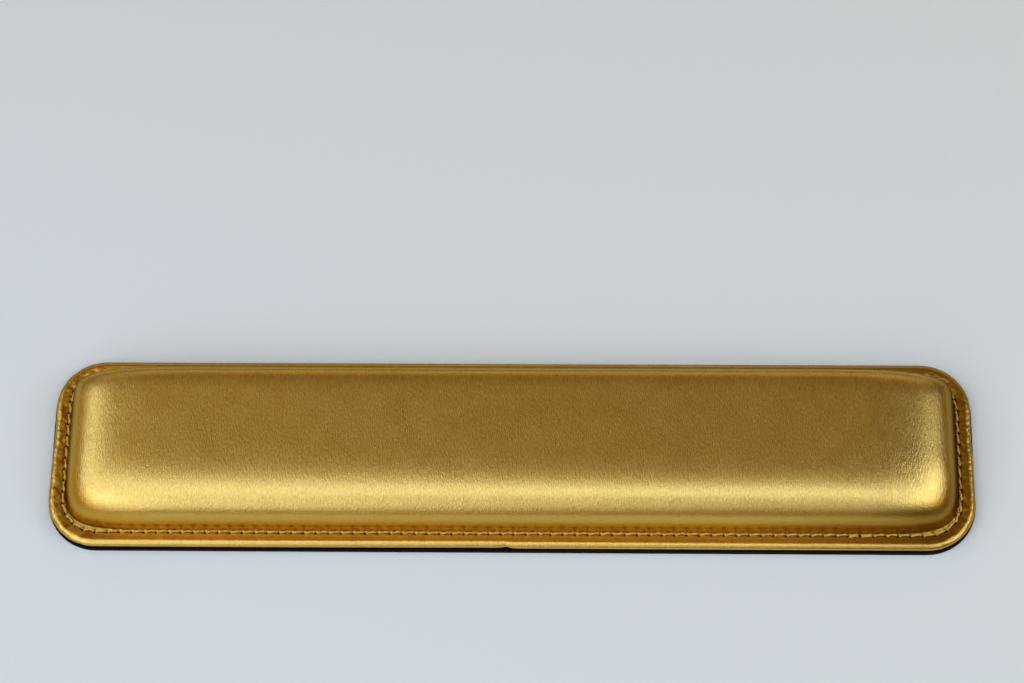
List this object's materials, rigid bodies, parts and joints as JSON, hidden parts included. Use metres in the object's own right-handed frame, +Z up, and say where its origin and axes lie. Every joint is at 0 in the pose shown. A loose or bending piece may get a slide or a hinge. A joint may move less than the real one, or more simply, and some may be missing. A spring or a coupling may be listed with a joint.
{
  "type": "keyboard wrist rest",
  "caption": "Padded keyboard wrist rest: long crowned foam bar in stitched metallic leathercloth, with a flat rolled border and a black anti-slip rubber underside.",
  "frame": {"origin": "on the desk, at the centre of the rest's underside", "axes": "+X along the length of the rest, +Y away from the user towards the keyboard, +Z up"},
  "size_m": [0.3706, 0.0806, 0.023],
  "materials": {
    "black_sponge_rubber": "matt, fine texture",
    "stiff_board": "plain pressed fibre board",
    "soft_foam": "open-cell foam",
    "gold_leathercloth": "metallic gold, soft sheen, fine grain",
    "gold_thread": "twisted filament, soft sheen",
    "dark_thread": "twisted filament"
  },
  "bodies": {
    "root": {"rubber_base": "black_sponge_rubber", "board": "stiff_board", "foam_core": "soft_foam", "cover": "gold_leathercloth", "needle_thread": "gold_thread", "under_thread": "dark_thread"}
  },
  "joints": []
}
